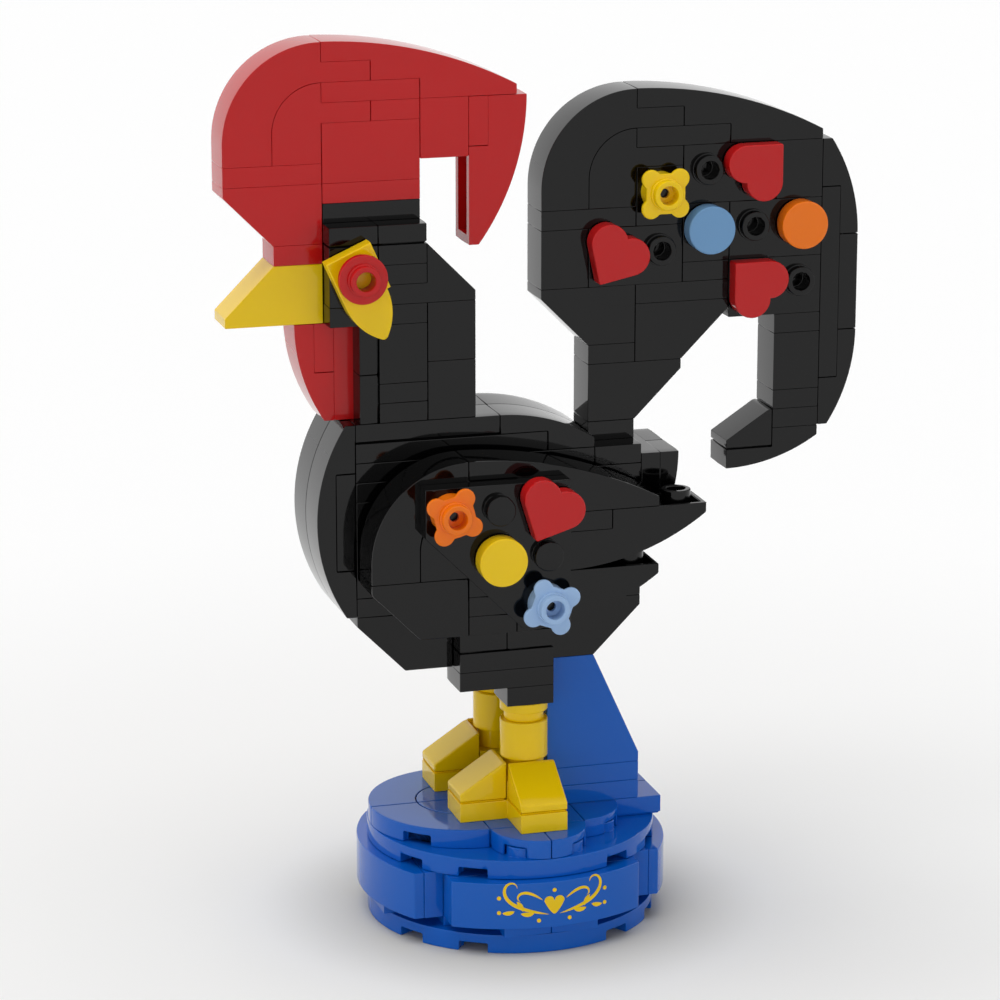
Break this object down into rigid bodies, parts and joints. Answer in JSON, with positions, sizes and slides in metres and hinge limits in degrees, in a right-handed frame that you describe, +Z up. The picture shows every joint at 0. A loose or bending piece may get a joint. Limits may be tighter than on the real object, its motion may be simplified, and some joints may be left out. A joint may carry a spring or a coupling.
{
  "type": "brick-built rooster ornament",
  "caption": "Folk rooster figure of interlocking studded bricks on a round base, with comb, wings, tail and turning heart, flower and disc ornaments.",
  "frame": {"origin": "centre of the base's underside", "axes": "+Z up, beak towards -X, tail towards +X, the bird's left side towards -Y"},
  "size_m": [0.1063, 0.0514, 0.1472],
  "materials": {
    "black": "glossy moulded ABS",
    "red": "glossy moulded ABS",
    "yellow": "glossy moulded ABS",
    "blue": "glossy moulded ABS",
    "sky": "glossy moulded ABS",
    "orange": "glossy moulded ABS",
    "pale_blue": "glossy moulded ABS"
  },
  "bodies": {
    "bird": {"base_bottom_disc": "blue", "base_core": "blue", "base_curved_panels": "blue", "base_top_disc": "blue", "base_rim_tiles": "blue", "base_jumper_plates": "blue", "rear_support": "blue", "foot_plates": "yellow", "toe_slopes": "yellow", "leg_columns": "yellow", "beak": "yellow", "hip_plates": "black", "belly_slopes": "black", "body_plates": "black", "body_bricks": "black", "chest_curves": "black", "back_curves": "black", "wing_arches": "black", "wing_curves": "black", "wing_plates": "black", "wing_brackets": "black", "wing_corner_plates": "black", "neck_bricks": "black", "neck_plates": "black", "head_brick": "black", "comb_seat_plate": "black", "tail_arches": "black", "tail_curves": "black", "tail_bricks": "black", "tail_plates": "black", "tail_slopes": "black", "wattle": "red", "comb_arches": "red", "comb_curves": "red", "comb_plates": "red", "comb_bricks": "red"},
    "tail_yellow_flower_left": {"tail_yellow_flower_left": "yellow"},
    "tail_yellow_flower_right": {"tail_yellow_flower_right": "yellow"},
    "tail_sky_disc_left": {"tail_sky_disc_left": "sky"},
    "tail_sky_disc_right": {"tail_sky_disc_right": "sky"},
    "tail_orange_disc_left": {"tail_orange_disc_left": "orange"},
    "tail_orange_disc_right": {"tail_orange_disc_right": "orange"},
    "tail_upper_heart_left": {"tail_upper_heart_left": "red"},
    "tail_upper_heart_right": {"tail_upper_heart_right": "red"},
    "tail_front_heart_left": {"tail_front_heart_left": "red"},
    "tail_front_heart_right": {"tail_front_heart_right": "red"},
    "tail_lower_heart_left": {"tail_lower_heart_left": "red"},
    "tail_lower_heart_right": {"tail_lower_heart_right": "red"},
    "wing_orange_flower_left": {"wing_orange_flower_left": "orange"},
    "wing_orange_flower_right": {"wing_orange_flower_right": "orange"},
    "wing_sky_flower_left": {"wing_sky_flower_left": "pale_blue"},
    "wing_sky_flower_right": {"wing_sky_flower_right": "pale_blue"},
    "wing_yellow_disc_left": {"wing_yellow_disc_left": "yellow"},
    "wing_yellow_disc_right": {"wing_yellow_disc_right": "yellow"},
    "wing_heart_left": {"wing_heart_left": "red"},
    "wing_heart_right": {"wing_heart_right": "red"},
    "eye_leaf_left": {"eye_leaf_left": "yellow"},
    "eye_leaf_right": {"eye_leaf_right": "yellow"},
    "eye_ring_left": {"eye_ring_left": "red"},
    "eye_ring_right": {"eye_ring_right": "red"}
  },
  "joints": [
    {"name": "tail_yellow_flower_left_turn", "type": "hinge", "parent": "bird", "child": "tail_yellow_flower_left", "pos_m": [0.024, -0.00395, 0.1208], "axis": [0, -1, 0], "continuous": true},
    {"name": "tail_yellow_flower_right_turn", "type": "hinge", "parent": "bird", "child": "tail_yellow_flower_right", "pos_m": [0.024, 0.00395, 0.1208], "axis": [0, 1, 0], "continuous": true},
    {"name": "tail_sky_disc_left_turn", "type": "hinge", "parent": "bird", "child": "tail_sky_disc_left", "pos_m": [0.032, -0.00395, 0.1144], "axis": [0, -1, 0], "continuous": true},
    {"name": "tail_sky_disc_right_turn", "type": "hinge", "parent": "bird", "child": "tail_sky_disc_right", "pos_m": [0.032, 0.00395, 0.1144], "axis": [0, 1, 0], "continuous": true},
    {"name": "tail_orange_disc_left_turn", "type": "hinge", "parent": "bird", "child": "tail_orange_disc_left", "pos_m": [0.048, -0.00395, 0.1144], "axis": [0, -1, 0], "continuous": true},
    {"name": "tail_orange_disc_right_turn", "type": "hinge", "parent": "bird", "child": "tail_orange_disc_right", "pos_m": [0.048, 0.00395, 0.1144], "axis": [0, 1, 0], "continuous": true},
    {"name": "tail_upper_heart_left_turn", "type": "hinge", "parent": "bird", "child": "tail_upper_heart_left", "pos_m": [0.04, -0.00395, 0.124], "axis": [0, -1, 0], "continuous": true},
    {"name": "tail_upper_heart_right_turn", "type": "hinge", "parent": "bird", "child": "tail_upper_heart_right", "pos_m": [0.04, 0.00395, 0.124], "axis": [0, 1, 0], "continuous": true},
    {"name": "tail_front_heart_left_turn", "type": "hinge", "parent": "bird", "child": "tail_front_heart_left", "pos_m": [0.016, -0.00395, 0.1112], "axis": [0, -1, 0], "continuous": true},
    {"name": "tail_front_heart_right_turn", "type": "hinge", "parent": "bird", "child": "tail_front_heart_right", "pos_m": [0.016, 0.00395, 0.1112], "axis": [0, 1, 0], "continuous": true},
    {"name": "tail_lower_heart_left_turn", "type": "hinge", "parent": "bird", "child": "tail_lower_heart_left", "pos_m": [0.04, -0.00395, 0.1048], "axis": [0, -1, 0], "continuous": true},
    {"name": "tail_lower_heart_right_turn", "type": "hinge", "parent": "bird", "child": "tail_lower_heart_right", "pos_m": [0.04, 0.00395, 0.1048], "axis": [0, 1, 0], "continuous": true},
    {"name": "wing_orange_flower_left_turn", "type": "hinge", "parent": "bird", "child": "wing_orange_flower_left", "pos_m": [-0.016, -0.0208, 0.0744], "axis": [0, -1, 0], "continuous": true},
    {"name": "wing_orange_flower_right_turn", "type": "hinge", "parent": "bird", "child": "wing_orange_flower_right", "pos_m": [-0.016, 0.0208, 0.0744], "axis": [0, 1, 0], "continuous": true},
    {"name": "wing_sky_flower_left_turn", "type": "hinge", "parent": "bird", "child": "wing_sky_flower_left", "pos_m": [0, -0.0208, 0.0584], "axis": [0, -1, 0], "continuous": true},
    {"name": "wing_sky_flower_right_turn", "type": "hinge", "parent": "bird", "child": "wing_sky_flower_right", "pos_m": [0, 0.0208, 0.0584], "axis": [0, 1, 0], "continuous": true},
    {"name": "wing_yellow_disc_left_turn", "type": "hinge", "parent": "bird", "child": "wing_yellow_disc_left", "pos_m": [-0.008, -0.0208, 0.0664], "axis": [0, -1, 0], "continuous": true},
    {"name": "wing_yellow_disc_right_turn", "type": "hinge", "parent": "bird", "child": "wing_yellow_disc_right", "pos_m": [-0.008, 0.0208, 0.0664], "axis": [0, 1, 0], "continuous": true},
    {"name": "wing_heart_left_turn", "type": "hinge", "parent": "bird", "child": "wing_heart_left", "pos_m": [0, -0.0208, 0.0744], "axis": [0, -1, 0], "continuous": true},
    {"name": "wing_heart_right_turn", "type": "hinge", "parent": "bird", "child": "wing_heart_right", "pos_m": [0, 0.0208, 0.0744], "axis": [0, 1, 0], "continuous": true},
    {"name": "eye_leaf_left_turn", "type": "hinge", "parent": "bird", "child": "eye_leaf_left", "pos_m": [-0.028, -0.00795, 0.1112], "axis": [0, -1, 0], "continuous": true},
    {"name": "eye_leaf_right_turn", "type": "hinge", "parent": "bird", "child": "eye_leaf_right", "pos_m": [-0.028, 0.00795, 0.1112], "axis": [0, 1, 0], "continuous": true},
    {"name": "eye_ring_left_turn", "type": "hinge", "parent": "eye_leaf_left", "child": "eye_ring_left", "pos_m": [-0.028, -0.01115, 0.1112], "axis": [0, -1, 0], "continuous": true},
    {"name": "eye_ring_right_turn", "type": "hinge", "parent": "eye_leaf_right", "child": "eye_ring_right", "pos_m": [-0.028, 0.01115, 0.1112], "axis": [0, 1, 0], "continuous": true}
  ]
}
